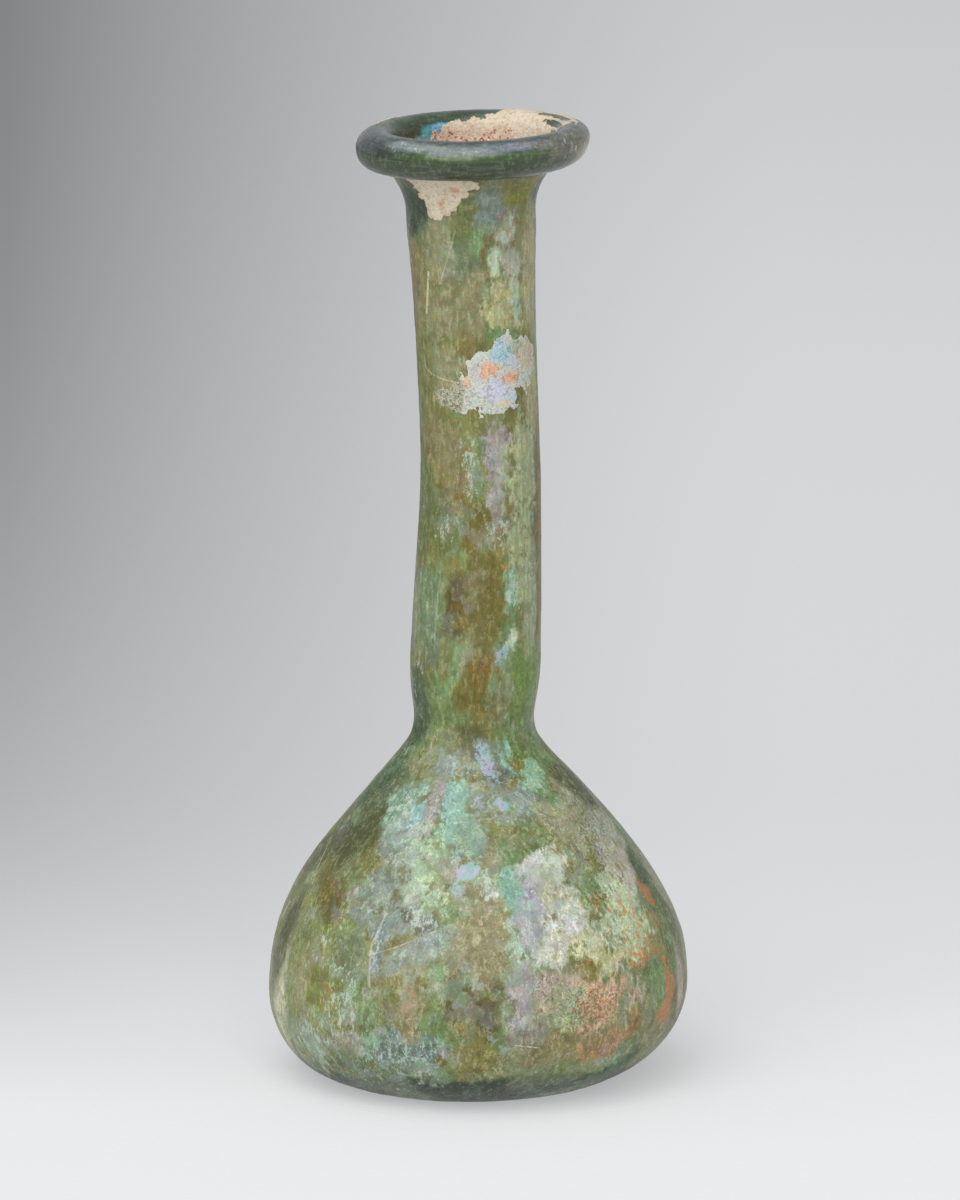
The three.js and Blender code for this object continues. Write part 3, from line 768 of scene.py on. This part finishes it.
strokes = {  # fine lines: half width in mm, strength, and the way as right and height
    "neckCrack": (0.24, 0.95, [(-7.3, 123.9), (-7.4, 121.1), (-7.6, 117.8)]),
    "patchArc": (0.14, 0.6, [(-8.1, 110.8), (-7.8, 109.5), (-6.9, 108.6), (-5.5, 108.1), (-3.1, 107.7)]),
    "neckScratch": (0.12, 0.4, [(-3.4, 130.8), (-4.2, 127.7), (-5.5, 123.4)]),
    "whiteScratch": (0.12, 0.9, [(5.8, 11.5), (8.8, 11.1)]),
    "shoulderLine": (0.13, 0.8, [(-22.0, 36.9), (-23.5, 34.2), (-25.0, 31.1)]),
    # a painted highlight: a glint down the left silhouette, drawn as a cream line
    "paintedGlintLeftEdge": (0.35, 0.9, [(-28.4, 27.3), (-29.5, 24.6)]),
    "seamLine": (0.14, 0.22, [(-5.5, 78.4), (-6.3, 72.5), (-6.6, 66.7)]),
    "ridgeLeft": (0.2, 0.6, [(-13.7, 30.0), (-15.8, 25.5), (-16.4, 19.7)]),
    "ridgeRight": (0.14, 0.6, [(-6.1, 28.5), (-11.6, 26.0), (-15.9, 23.8)]),
}


def frontPoint(right, height):  # the place on the outside, in mm, seen from the front
    rows = np.flatnonzero(wallRows)
    row = rows[np.argmin(np.abs(centres[rows, 2] - height))]
    front = grid[row][grid[row][:, 1] < centres[row, 1]]
    return front[np.argmin(np.abs(front[:, 0] - right))]


def strokeAndGlintMask(bench, place):
    mask = 0.0
    for halfWidth, strength, path in strokes.values():
        ends = [frontPoint(right, height) for right, height in path]
        for start, end in zip(ends[:-1], ends[1:]):
            span = end - start
            offset = bench.arrow("SUBTRACT", place, tuple(start))
            share = bench.arrow("DOT_PRODUCT", offset, tuple(span / (span @ span)), out="Value")
            share = bench.node("ShaderNodeClamp", {}, {"Value": share})
            foot = bench.scaled(tuple(span), share)
            away = bench.arrow("DISTANCE", offset, foot, out="Value")
            line = (1 - bench.ease(away, halfWidth * 0.5, halfWidth * 1.3)) * strength
            mask = bench.larger(line, mask)
    return mask


def inMillimetres(bench):
    place = bench.node("ShaderNodeTexCoord", {}, {}, out="Object")
    return bench.scaled(place, 1 / mm)


def filmNoises(bench, place):  # the random fields that the film's colours and flakes share
    drawn = bench.arrow("MULTIPLY", place, (1.15, 1.15, 0.6))  # longer upwards, as the glass was drawn
    return {
        "grain": bench.speckle(place, 3.2, 5, 0.7),
        "broad": bench.speckle(place, 0.5, 9, 0.68, 0.4),
        "middle": bench.speckle(bench.arrow("ADD", drawn, (31.0, 7.0, 3.0)), 1.1, 8, 0.72, 0.3),
        "third": bench.speckle(bench.arrow("ADD", place, (5.0, 43.0, 17.0)), 1.4, 8, 0.72, 0.3),
        "dots": bench.speckle(bench.arrow("ADD", place, (11.0, 3.0, 29.0)), 2.6, 5, 0.65),
        "lines": bench.speckle(bench.arrow("MULTIPLY", place, (1.0, 1.0, 0.2)), 1.7, 6, 0.62),
        "specks": bench.speckle(bench.arrow("ADD", drawn, (3.0, 19.0, 41.0)), 2.4, 4, 0.75),
    }


def mottledFilm(bench, place, noise, rim, onNeck):  # a ground with flaking patches, darker and lighter
    broad, middle, grain = noise["broad"], noise["middle"], noise["grain"]
    cover = bench.stored("cover")
    ragged = cover + (broad * 0.3 + middle * 0.45 + grain * 0.25 - 0.5) * 2.2
    covered = bench.ease(ragged, 0.46, 0.58) * 0.6 + bench.ease(cover, 0.2, 0.85) * 0.34
    tint = bench.blend(covered, bench.stored("tint", "Color"), bench.stored("overTint", "Color"))
    darker = bench.blend(1.0, tint, (0.58, 0.57, 0.46, 1), "MULTIPLY")
    lighter = bench.blend(1.0, tint, (1.35, 1.36, 1.4, 1), "MULTIPLY")
    lighter = bench.blend(0.16, lighter, paint(216, 224, 208))
    calmer = 1 - onNeck * 0.3  # the neck is less blotched
    colour = bench.blend((1 - bench.ease(broad, 0.32, 0.46)) * calmer, tint, darker)
    colour = bench.blend(bench.ease(middle, 0.54, 0.64) * calmer, colour, lighter)
    colour = bench.blend(bench.ease(noise["lines"], 0.42, 0.7) * (onNeck * 0.34 + 0.16), colour, darker)
    hue = bench.blend(bench.ease(noise["third"], 0.3, 0.7), (0.82, 1.1, 0.88, 1), (1.18, 0.96, 0.94, 1))
    colour = bench.blend(0.55, colour, hue, "MULTIPLY")
    colour = bench.blend(bench.ease(grain, 0.45, 0.7) * (0.68 - onNeck * 0.23), colour, darker)
    rounds = bench.arrow("MULTIPLY", place, (0.22, 0.22, 1.7))  # on the rim the streaks run round it
    rounds = bench.speckle(rounds, 1.5, 6, 0.62)
    colour = bench.blend(rim * bench.ease(rounds, 0.5, 0.75) * 0.3, colour, lighter)
    colour = bench.blend(rim * (1 - bench.ease(rounds, 0.25, 0.45)) * 0.7, colour, darker)
    return tint, colour


def layerCells(bench, place, tint, colour, rim, onNeck):  # the map of thin layers, each its own hue
    bent = bench.node(
        "ShaderNodeTexNoise", {},
        {"Vector": place, "Scale": 0.9, "Detail": 5.0, "Roughness": 0.7}, out="Color",
    )
    bent = bench.scaled(bent, 3.2)
    bent = bench.arrow("ADD", place, bent)
    cells = bench.node("ShaderNodeTexVoronoi", {}, {"Vector": bent, "Scale": 0.5}, out="Color")
    mintCell, lilacCell, darkCell = (
        bench.node("ShaderNodeSeparateColor", {}, {"Color": cells}, out) for out in ("Red", "Green", "Blue")
    )
    layered = bench.ease(bench.stored("pale") + bench.stored("pearl"), 0.15, 0.9)
    layered = layered * (1 - rim) * (1 - onNeck * 0.55)
    dull = bench.blend(1.0, tint, (0.6, 0.62, 0.36, 1), "MULTIPLY")
    colour = bench.blend(bench.ease(mintCell, 0.66, 0.7) * layered * 0.34, colour, paint(158, 204, 172))
    colour = bench.blend(bench.ease(lilacCell, 0.62, 0.68) * layered * 0.32, colour, paint(190, 182, 200))
    colour = bench.blend(bench.ease(darkCell, 0.62, 0.66) * (0.34 - onNeck * 0.2), colour, dull)
    warm = (1 - bench.ease(darkCell, 0.3, 0.34)) * 0.6
    return bench.blend(warm, colour, (1.12, 1.08, 0.84, 1), "MULTIPLY")


def flakesOver(bench, place, noise, colour, rim):  # flakes of each kind over the film
    broad, middle, third, grain = noise["broad"], noise["middle"], noise["third"], noise["grain"]
    ember = bench.flaked(bench.stored("ember") * 0.9, third)
    rust = bench.blend(bench.ease(grain, 0.2, 0.8), paint(232, 134, 72), paint(196, 130, 78))
    colour = bench.blend(ember * 0.7, colour, rust)
    pale = bench.flaked(bench.stored("pale") * 0.86, middle * 0.7 + grain * 0.3, 0.05)
    paleTint = bench.blend(broad, paint(176, 214, 182), paint(214, 214, 206))
    colour = bench.blend(pale * 0.68, colour, paleTint)
    pearl = bench.flaked(bench.stored("pearl") * 0.82, third * 0.7 + grain * 0.3, 0.05)
    pearlTint = bench.blend(bench.ease(broad, 0.4, 0.6), paint(196, 192, 218), paint(150, 196, 206))
    colour = bench.blend(pearl * 0.7, colour, pearlTint)
    specks = bench.flaked(bench.stored("pale") * 0.55 + broad * 0.3 - 0.12, noise["specks"], 0.05)
    speckTint = bench.blend(middle, paint(186, 216, 190), paint(222, 220, 212))
    colour = bench.blend(specks * (1 - rim) * 0.7, colour, speckTint)
    pits = bench.flaked(bench.stored("pits") * 0.7, noise["dots"])
    colour = bench.blend(pits * 0.6, colour, paint(76, 70, 38))
    # the lines are cracks and scratches, and one painted highlight, a glint down the left edge
    line = strokeAndGlintMask(bench, place) * bench.ease(grain + middle * 0.6, 0.45, 0.8)
    colour = bench.blend(line * 0.9, colour, paint(222, 216, 186))
    return colour, pale, pearl, line


def weatheredGlass():
    material, bench = finishBench("weatheredGlass")
    place = inMillimetres(bench)
    noise = filmNoises(bench, place)
    grain = noise["grain"]
    rim = bench.ease(bench.stored("gloss"), 0.45, 0.8)
    onNeck = bench.ease(bench.node("ShaderNodeSeparateXYZ", {}, {"Vector": place}, out="Z"), 48.0, 60.0)
    tint, colour = mottledFilm(bench, place, noise, rim, onNeck)
    colour = layerCells(bench, place, tint, colour, rim, onNeck)
    colour, pale, pearl, line = flakesOver(bench, place, noise, colour, rim)

    # where the film has gone, the green glass shows
    bare = bench.flaked(bench.stored("bare"), noise["third"] * 0.4 + noise["broad"] * 0.6, 0.3)
    bare = bare * (1 - bench.larger(pale, bench.larger(pearl, line)))
    bump = bench.node(
        "ShaderNodeBump", {},
        {"Strength": finish["grainBump"], "Distance": finish["grainDepth"] * mm,
         "Height": grain * 0.4 + noise["middle"] * 0.5 + pale + pearl * 0.6},
    )
    layer = bench.node(
        "ShaderNodeBsdfPrincipled", {},
        {"Base Color": colour, "IOR": finish["glassIor"], "Normal": bump,
         "Roughness": bench.ease(grain, 0.1, 0.9) * finish["filmSpread"] + finish["filmRoughness"],
         "Transmission Weight": finish["filmGlow"], "Specular IOR Level": finish["filmShine"],
         "Coat Weight": bench.stored("gloss") + bare * 0.3, "Coat Roughness": finish["coatRoughness"]},
    )
    glass = bench.node(
        "ShaderNodeBsdfPrincipled", {},
        {"Base Color": bench.node("ShaderNodeGamma", {}, {"Color": tint, "Gamma": 0.3}),
         "Roughness": finish["glassRoughness"], "IOR": finish["glassIor"],
         "Transmission Weight": 1.0, "Normal": bump},
    )
    mixed = bench.node("ShaderNodeMixShader", {}, {0: bare * finish["clearShare"], 1: layer, 2: glass})
    bench.node("ShaderNodeOutputMaterial", {}, {"Surface": mixed})
    return material


flask = glassSkin()
flask.data.materials.append(weatheredGlass())
print("glass skin made,", len(flask.data.vertices), "points")

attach(flask, "root")
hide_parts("flask")

crusts = {  # what stands on the glass
    "mouthLime": {  # cream lime in the mouth
        "rim": [  # degrees round, lap, half width, half lap, thickness
            (180, 12.4, 15, 3.8, 1.0),
            (160, 9.6, 8, 4.4, 1.0),
            (138, 8.0, 8, 5.0, 1.0),
            (104, 8.2, 7, 3.8, 0.85),
            (76, 9.0, 7, 3.0, 0.66),
            (-152, 13.2, 9, 3.2, 0.95),
            # a painted highlight: this small cream lump stands for a glint inside the mouth
            (-74, 7.2, 2.0, 0.9, 0.95),
            (0, 13.6, 20, 2.6, 0.62),
            (-126, 3.1, 5, 0.5, 0.95),
            (114, 3.6, 7, 0.55, 0.8),
        ],
        "gaps": [(106, 6.2, 4.0, 0.45), (92, 7.6, 2.4, 0.4), (124, 4.7, 3.0, 0.4)],
        "wall": [],
        "tint": (212, 197, 174), "edge": (186, 162, 132),
        "height": 0.18, "lump": 1.6,  # mm
        "level": 0.5, "fineness": 1, "seed": 5.0, "roughness": 0.8, "coat": 0.0,
        "tints": [
            ("blue edge", -157, 9.4, 2.4, 0.9, (116, 172, 204)),
            ("rust", 184, 11.2, 13, 3.0, (206, 172, 148)), ("rust low", 206, 12.8, 7, 2.2, (186, 144, 116)),
            ("rust right", 160, 12.4, 6, 1.8, (208, 176, 150)),
        ],
    },
    "collarLime": {  # and the wedge of it under the rim
        "rim": [],
        "wall": [  # right, height, half width, half height, turn, thickness
            (-5.4, 137.9, 6.2, 1.2, 0, 1.0),
            (-5.6, 136.3, 4.2, 1.5, 0, 1.0),
            (-6.2, 134.6, 2.4, 1.6, 0, 1.0),
            (-6.6, 133.0, 1.2, 1.4, 0, 0.9),
        ],
        "tint": (208, 196, 172), "edge": (190, 172, 142),
        "height": 0.1, "lump": 1.8,
        "level": 0.42, "fineness": 2, "seed": 3.0, "roughness": 0.75, "coat": 0.0,
        "tints": [
            ("flecks", -3.6, 137.0, 0.8, 0.4, (196, 150, 118)),
            ("flecks low", -5.4, 135.0, 0.5, 0.5, (198, 164, 130)),
        ],
    },
    "patchCrust": {  # the layered patch on the neck
        "rim": [],
        "wall": [
            (3.7, 112.3, 3.3, 2.0, 0, 1.0),
            (6.4, 110.6, 2.0, 3.9, 0, 0.9),
            (2.4, 109.5, 3.6, 2.6, 0, 1.0),
            (1.6, 106.0, 4.8, 2.4, 4, 1.0),
            (0.3, 111.2, 1.8, 1.5, 0, 0.94),
            (-2.2, 108.2, 2.2, 2.2, 0, 0.9),
            (-3.4, 106.2, 2.0, 1.8, 0, 0.88),
        ],
        "tint": (172, 184, 178), "edge": (214, 206, 182), "creases": 0.6,
        "height": 0.06, "lump": 0.9,
        "level": 0.5, "fineness": 2, "seed": 9.0, "roughness": 0.4, "coat": 0.3,
        "tints": [
            ("turquoise", 3.7, 112.2, 1.5, 1.1, (128, 182, 200)),
            ("blue", 2.4, 113.8, 1.4, 0.9, (146, 178, 196)),
            ("blue right", 5.2, 110.8, 0.9, 1.2, (166, 184, 206)),
            ("orange", 2.0, 110.0, 1.4, 1.3, (208, 140, 100)),
            ("orange low", 4.8, 108.4, 1.4, 0.9, (206, 146, 108)),
            ("orange left", -1.6, 108.3, 0.8, 1.0, (196, 148, 108)),
            ("lavender", 2.5, 106.6, 2.1, 1.2, (176, 184, 210)),
            ("lavender top", 0.3, 109.9, 1.0, 1.3, (164, 162, 166)),
            ("lavender right", 4.6, 105.4, 1.3, 1.2, (166, 184, 202)),
            ("cream low", 4.0, 104.6, 1.6, 0.5, (196, 186, 152)),
            ("sand right", 6.9, 111.6, 1.2, 2.2, (176, 166, 138)),
            ("green right", 5.6, 113.0, 0.8, 1.0, (136, 152, 126)),
            ("olive left", -3.8, 106.8, 2.0, 1.9, (116, 120, 88)),
        ],
    },
}


def crustSeat(name, plan):  # the part of the skin a crust grows on, with its thickness and colours
    amount = np.zeros(len(points))
    for degrees, lapAt, halfWidth, halfLap, depth in plan["rim"]:
        amount = np.maximum(amount, depth * rimSpot(degrees, lapAt, halfWidth, halfLap, soft=0.4))
    for degrees, lapAt, halfWidth, halfLap in plan.get("gaps", []):
        amount = amount * (1 - rimSpot(degrees, lapAt, halfWidth, halfLap))
    for right, height, halfWidth, halfHeight, turn, depth in plan["wall"]:
        amount = np.maximum(amount, depth * spot(right, height, halfWidth, halfHeight, turn, 0.28, 0.5))
    shades = np.tile(np.array(linear(*plan["tint"])), (len(points), 1))
    for label, place, rise, halfWidth, halfHeight, tint in plan["tints"]:
        if plan["rim"]:
            mask = rimSpot(place, rise, halfWidth, halfHeight)
        else:
            mask = spot(place, rise, halfWidth, halfHeight, 0, 0.25, 0.6)
        shades = overlay(shades, tint, mask)
    used = (amount > 0.02).reshape(rowCount, around)
    index = np.arange(rowCount * around).reshape(rowCount, around)
    beside = np.roll(index, -1, axis=1)
    quads = np.stack([index[:-1], beside[:-1], beside[1:], index[1:]], axis=-1).reshape(-1, 4)
    quads = quads[used.ravel()[quads].all(1)]
    kept, quads = np.unique(quads, return_inverse=True)
    quads = quads.reshape(-1, 4)
    places = np.empty(len(flask.data.vertices) * 3, np.float32)
    flask.data.vertices.foreach_get("co", places)
    places = places.reshape(-1, 3)[kept]
    first = flask.data.polygons[0].vertices[:]
    if (first[0] + 1) % around != first[1] % around:  # the same way round as the skin's faces
        quads = quads[:, ::-1]
    mesh = bpy.data.meshes.new(name)
    mesh.from_pydata(places.tolist(), [], quads.tolist())
    layer = mesh.attributes.new("lime", "FLOAT", "POINT")
    layer.data.foreach_set("value", amount[kept].astype(np.float32))
    full = np.ones((len(kept), 4))
    full[:, :3] = shades[kept]
    layer = mesh.attributes.new("tint", "FLOAT_COLOR", "POINT")
    layer.data.foreach_set("color", full.astype(np.float32).ravel())
    mesh.update()
    seat = bpy.data.objects.new(name, mesh)
    bpy.context.scene.collection.objects.link(seat)
    return seat


def newTree(name, inputs):  # a geometry tree with named inputs
    tree = bpy.data.node_groups.new(name, "GeometryNodeTree")
    tree.interface.new_socket(name="Geometry", in_out="OUTPUT", socket_type="NodeSocketGeometry")
    tree.interface.new_socket(name="Geometry", in_out="INPUT", socket_type="NodeSocketGeometry")
    for label, kind in inputs.items():
        tree.interface.new_socket(name=label, in_out="INPUT", socket_type="NodeSocket" + kind)
    entry = tree.nodes.new("NodeGroupInput")
    bench = Bench(tree)
    return tree, bench, {output.name: Wire(bench, output) for output in entry.outputs if output.name}


def grown(seat, tree, values):  # runs the tree on the seat and leaves a plain mesh
    modifier = seat.modifiers.new("grow", "NODES")
    modifier.node_group = tree
    for socket in tree.interface.items_tree:
        if socket.in_out == "INPUT" and socket.name in values:
            modifier[socket.identifier] = values[socket.name]
    graph = bpy.context.evaluated_depsgraph_get()
    mesh = bpy.data.meshes.new_from_object(seat.evaluated_get(graph))
    mesh.name = seat.name
    places = np.empty(len(mesh.vertices) * 3, np.float32)
    mesh.vertices.foreach_get("co", places)
    low, high = np.array(cadBox[0]) + relief["limit"], np.array(cadBox[1]) - relief["limit"]
    places = np.clip(places.reshape(-1, 3), low, high)
    mesh.vertices.foreach_set("co", places.astype(np.float32).ravel())
    seat.modifiers.remove(modifier)
    seat.data = mesh
    return seat


roots = {"sunk": 0.05, "sheet": 0.08}  # mm, how deep a crust starts in the glass, and its least depth


def crustTree():
    tree, bench, given = newTree("crustGrowth", {
        "Fineness": "Int", "Crust Height": "Float", "Edge Level": "Float",
        "Lump Size": "Float", "Seed": "Float", "Finish": "Material",
    })
    fine = {"Mesh": given["Geometry"], "Level": given["Fineness"]}
    fine = bench.node("GeometryNodeSubdivideMesh", {}, fine)
    place = bench.node("GeometryNodeInputPosition", {}, {})
    normal = bench.node("GeometryNodeInputNormal", {}, {})
    stored = bench.node("GeometryNodeInputNamedAttribute", {"data_type": "FLOAT"}, {"Name": "lime"})
    lumps = bench.node(
        "ShaderNodeTexNoise", {"noise_dimensions": "4D"},
        {"Vector": place, "W": given["Seed"], "Scale": 1.0 / given["Lump Size"],
         "Detail": 5.0, "Roughness": 0.62},
    )
    lift = stored - given["Edge Level"] + (lumps - 0.5) * 1.6
    gone = bench.node("FunctionNodeCompare", {"operation": "LESS_THAN"}, {0: lift, 1: 0.0})
    sheet = bench.node(
        "GeometryNodeDeleteGeometry", {"domain": "POINT"}, {"Geometry": fine, "Selection": gone},
    )
    sunk = bench.scaled(normal, -roots["sunk"] * mm)
    sheet = bench.node("GeometryNodeSetPosition", {}, {"Geometry": sheet, "Offset": sunk})
    raised = bench.node(
        "GeometryNodeExtrudeMesh", {},
        {"Mesh": sheet, "Offset Scale": roots["sheet"] * mm, "Individual": False},
    )
    top = Wire(bench, raised.socket.node.outputs["Top"])
    rise = bench.ease(lift, 0.0, 0.7) * given["Crust Height"] * (lumps + 0.5)
    out = bench.scaled(normal, rise)
    raised = bench.node("GeometryNodeSetPosition", {}, {"Geometry": raised, "Selection": top, "Offset": out})
    under = bench.node("GeometryNodeFlipFaces", {}, {"Mesh": sheet})
    whole = bench.node("GeometryNodeJoinGeometry", {}, {"Geometry": [raised, under]})
    whole = bench.node("GeometryNodeMergeByDistance", {}, {"Geometry": whole, "Distance": 1e-7})
    whole = bench.node("GeometryNodeSetShadeSmooth", {}, {"Geometry": whole})
    whole = bench.node("GeometryNodeRealizeInstances", {}, {"Geometry": whole})
    whole = bench.node("GeometryNodeSetMaterial", {}, {"Geometry": whole, "Material": given["Finish"]})
    bench.node("NodeGroupOutput", {}, {"Geometry": whole})
    return tree


def crustFinish(name, plan):
    material, bench = finishBench(name + "Finish")
    place = inMillimetres(bench)
    tint = bench.stored("tint", "Color")
    grain = bench.speckle(place, 4.0, 5, 0.7)
    broad = bench.speckle(place, 1.3, 8, 0.7, 0.4)
    edge = 1 - bench.ease(bench.stored("lime"), 0.35, 0.95)
    colour = bench.blend(1.0, tint, (0.8, 0.72, 0.62, 1), "MULTIPLY")
    colour = bench.blend(bench.ease(broad, 0.3, 0.5), colour, tint)
    colour = bench.blend(edge * bench.ease(broad, 0.4, 0.6) * 0.85, colour, paint(*plan["edge"]))
    crease = bench.node("ShaderNodeMath", {"operation": "ABSOLUTE"}, {0: broad - 0.5})
    crease = (1 - bench.ease(crease, 0.02, 0.1)) * plan.get("creases", 0.0)
    colour = bench.blend(crease, colour, paint(*plan["edge"]))
    colour = bench.blend(bench.ease(grain, 0.5, 0.8) * 0.35, colour, paint(228, 226, 214))
    colour = bench.blend((1 - bench.ease(grain, 0.12, 0.3)) * 0.5, colour, paint(150, 110, 74))
    bump = bench.node("ShaderNodeBump", {}, {"Strength": 0.8, "Distance": 0.0001, "Height": grain + broad})
    layer = bench.node(
        "ShaderNodeBsdfPrincipled", {},
        {"Base Color": colour, "Roughness": plan["roughness"], "Coat Weight": plan["coat"], "Normal": bump},
    )
    bench.node("ShaderNodeOutputMaterial", {}, {"Surface": layer})
    return material


def grainTree():
    tree, bench, given = newTree("grainScatter", {
        "Density": "Float", "Grain Size": "Float", "Lift": "Float", "Seed": "Int", "Finish": "Material",
    })
    share = bench.node("GeometryNodeInputNamedAttribute", {"data_type": "FLOAT"}, {"Name": "lime"})
    spread = bench.node(
        "GeometryNodeDistributePointsOnFaces", {"distribute_method": "RANDOM"},
        {"Mesh": given["Geometry"], "Density": share * given["Density"], "Seed": given["Seed"]},
    )
    outward = Wire(bench, spread.socket.node.outputs["Normal"])
    lift = bench.scaled(outward, given["Lift"])
    spread = bench.node("GeometryNodeSetPosition", {}, {"Geometry": spread, "Offset": lift})
    grain = bench.node("GeometryNodeMeshIcoSphere", {}, {"Radius": given["Grain Size"], "Subdivisions": 1})
    size = bench.node(
        "FunctionNodeRandomValue", {"data_type": "FLOAT"}, {2: 0.5, 3: 1.4, "Seed": given["Seed"]}, out=1,
    )
    turn = bench.node(
        "FunctionNodeRandomValue", {"data_type": "FLOAT_VECTOR"},
        {1: (6.2, 6.2, 6.2), "Seed": given["Seed"]},
    )
    grains = bench.node(
        "GeometryNodeInstanceOnPoints", {},
        {"Points": spread, "Instance": grain, "Rotation": turn, "Scale": size},
    )
    whole = bench.node("GeometryNodeRealizeInstances", {}, {"Geometry": grains})
    whole = bench.node("GeometryNodeSetMaterial", {}, {"Geometry": whole, "Material": given["Finish"]})
    bench.node("NodeGroupOutput", {}, {"Geometry": whole})
    return tree


def rustFinish():
    material, bench = finishBench("rustFinish")
    place = inMillimetres(bench)
    colour = bench.blend(bench.speckle(place, 1.4, 3, 0.6), paint(128, 82, 54), paint(176, 132, 96))
    layer = bench.node("ShaderNodeBsdfPrincipled", {}, {"Base Color": colour, "Roughness": 0.85})
    bench.node("ShaderNodeOutputMaterial", {}, {"Surface": layer})
    return material


rust = {  # grains on the lime
    "rim": [(184, 11.6, 13, 2.8, 1.0), (160, 12.0, 6, 2.2, 0.6), (-160, 12.2, 4, 1.8, 1.0)],
    "wall": [], "tint": (190, 150, 120), "tints": [],
    "density": 4.5e6,  # grains on a square metre
    "grainSize": 0.13, "lift": 0.2,  # mm
    "seed": 4,
}
grains = grown(crustSeat("rustGrains", rust), grainTree(), {
    "Density": rust["density"], "Grain Size": rust["grainSize"] * mm, "Lift": rust["lift"] * mm,
    "Seed": rust["seed"], "Finish": rustFinish(),
})
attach(grains, "root")
print("rustGrains", len(grains.data.polygons), "faces")

growth = crustTree()
for name, plan in crusts.items():
    seat = crustSeat(name, plan)
    grown(seat, growth, {
        "Fineness": plan["fineness"], "Crust Height": plan["height"] * mm, "Edge Level": plan["level"],
        "Lump Size": plan["lump"] * mm, "Seed": plan["seed"], "Finish": crustFinish(name, plan),
    })
    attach(seat, "root")
    print(name, len(seat.data.polygons), "faces")

studio = {  # floor, light and camera, in metres, degrees and watts
    "floorHalf": 3.0,
    "floorLift": 0.88,
    "floorGlow": 0.5,
    "worldLight": 0.5,
    "keyAt": (-0.25, -0.25, 1.1),
    "keyAim": (0, 0, 0.07),
    "keySize": 0.9,
    "keyPower": 3.0,
    "frontLight": 2.5,
    "frontSpread": 70,
    "frontTilt": 54,
    "frontTurn": -14,
    "lens": 305.97,
    "cameraAt": (0.0003, -1.5, 0.39167),
    "cameraDip": 12.001,
}


def paperFloor():
    mesh = bpy.data.meshes.new("paperFloor")
    half = studio["floorHalf"]
    corners = [(-half, -half, 0), (half, -half, 0), (half, half, 0), (-half, half, 0)]
    mesh.from_pydata(corners, [], [(0, 1, 2, 3)])
    floor = bpy.data.objects.new("paperFloor", mesh)
    bpy.context.scene.collection.objects.link(floor)
    material, bench = finishBench("palePaper")
    place = bench.node("ShaderNodeTexCoord", {}, {}, out="Object")
    right, back = (bench.node("ShaderNodeSeparateXYZ", {}, {"Vector": place}, out) for out in ("X", "Y"))
    # painted shade: the paper darkens further behind the flask and most behind to the left, as light falls
    # off on a backdrop
    shadeBehind = 1 - bench.sums("POWER", math.e, bench.larger(back + 0.02, 0.0) * (-1 / 0.27))
    side = bench.node("ShaderNodeClamp", {}, {"Value": (0.03 - right / (back + 1.6)) / 0.075})
    side = bench.sums("POWER", side, 1.5)
    level = 0.85 - bench.ease(back, -0.07, 0.2) * 0.15 - bench.ease(back, 0.4, 1.2) * 0.08
    level = level * (1 - shadeBehind * side * 0.66) * studio["floorLift"]
    weave = bench.speckle(place, 700.0, 2, 0.5)
    bump = bench.node("ShaderNodeBump", {}, {"Strength": 0.15, "Distance": 0.0002, "Height": weave})
    lit = studio["floorGlow"]  # the paper's own share of light, a painted glow as of a sheet lit from below, which also lightens the shade round the foot
    shade = bench.node("ShaderNodeCombineColor", {}, {"Red": level, "Green": level, "Blue": level * 1.01})
    own = bench.blend(1.0, shade, (1 - lit, 1 - lit, 1 - lit, 1), "MULTIPLY")
    sheet = bench.node(
        "ShaderNodeBsdfPrincipled", {},
        {"Base Color": own, "Roughness": 0.95, "Normal": bump,
         "Emission Color": shade, "Emission Strength": lit * 1.06},
    )
    bench.node("ShaderNodeOutputMaterial", {}, {"Surface": sheet})
    mesh.materials.append(material)
    return floor


def softLamp(name, at, aim, size, power):
    lamp = bpy.data.lights.new(name, "AREA")
    lamp.shape, lamp.size, lamp.energy = "DISK", size, power
    holder = bpy.data.objects.new(name, lamp)
    holder.location = at
    direction = np.array(aim) - np.array(at)
    flat = math.hypot(direction[0], direction[1])
    turn = math.atan2(direction[1], direction[0]) - math.pi / 2
    holder.rotation_euler = (math.atan2(flat, -direction[2]), 0, turn)
    bpy.context.scene.collection.objects.link(holder)


paperFloor()
softLamp("overheadSoft", studio["keyAt"], studio["keyAim"], studio["keySize"], studio["keyPower"])
front = bpy.data.lights.new("frontSoft", "SUN")
front.energy, front.angle = studio["frontLight"], math.radians(studio["frontSpread"])
frontHolder = bpy.data.objects.new("frontSoft", front)
frontHolder.rotation_euler = (math.radians(studio["frontTilt"]), 0, math.radians(studio["frontTurn"]))
bpy.context.scene.collection.objects.link(frontHolder)
world = bpy.data.worlds.new("paleRoom")
world.use_nodes = True
world.node_tree.nodes["Background"].inputs[0].default_value = (0.93, 0.96, 1.0, 1)
world.node_tree.nodes["Background"].inputs[1].default_value = studio["worldLight"]
bpy.context.scene.world = world
bpy.context.scene.view_settings.view_transform = "Standard"

view = bpy.data.cameras.new("view")
view.lens = studio["lens"]
view.clip_end = 20
eye = bpy.data.objects.new("view", view)
eye.location = studio["cameraAt"]
eye.rotation_euler = (math.radians(90 - studio["cameraDip"]), 0, 0)
bpy.context.scene.collection.objects.link(eye)
bpy.context.scene.camera = eye
print("floor, light and camera set")
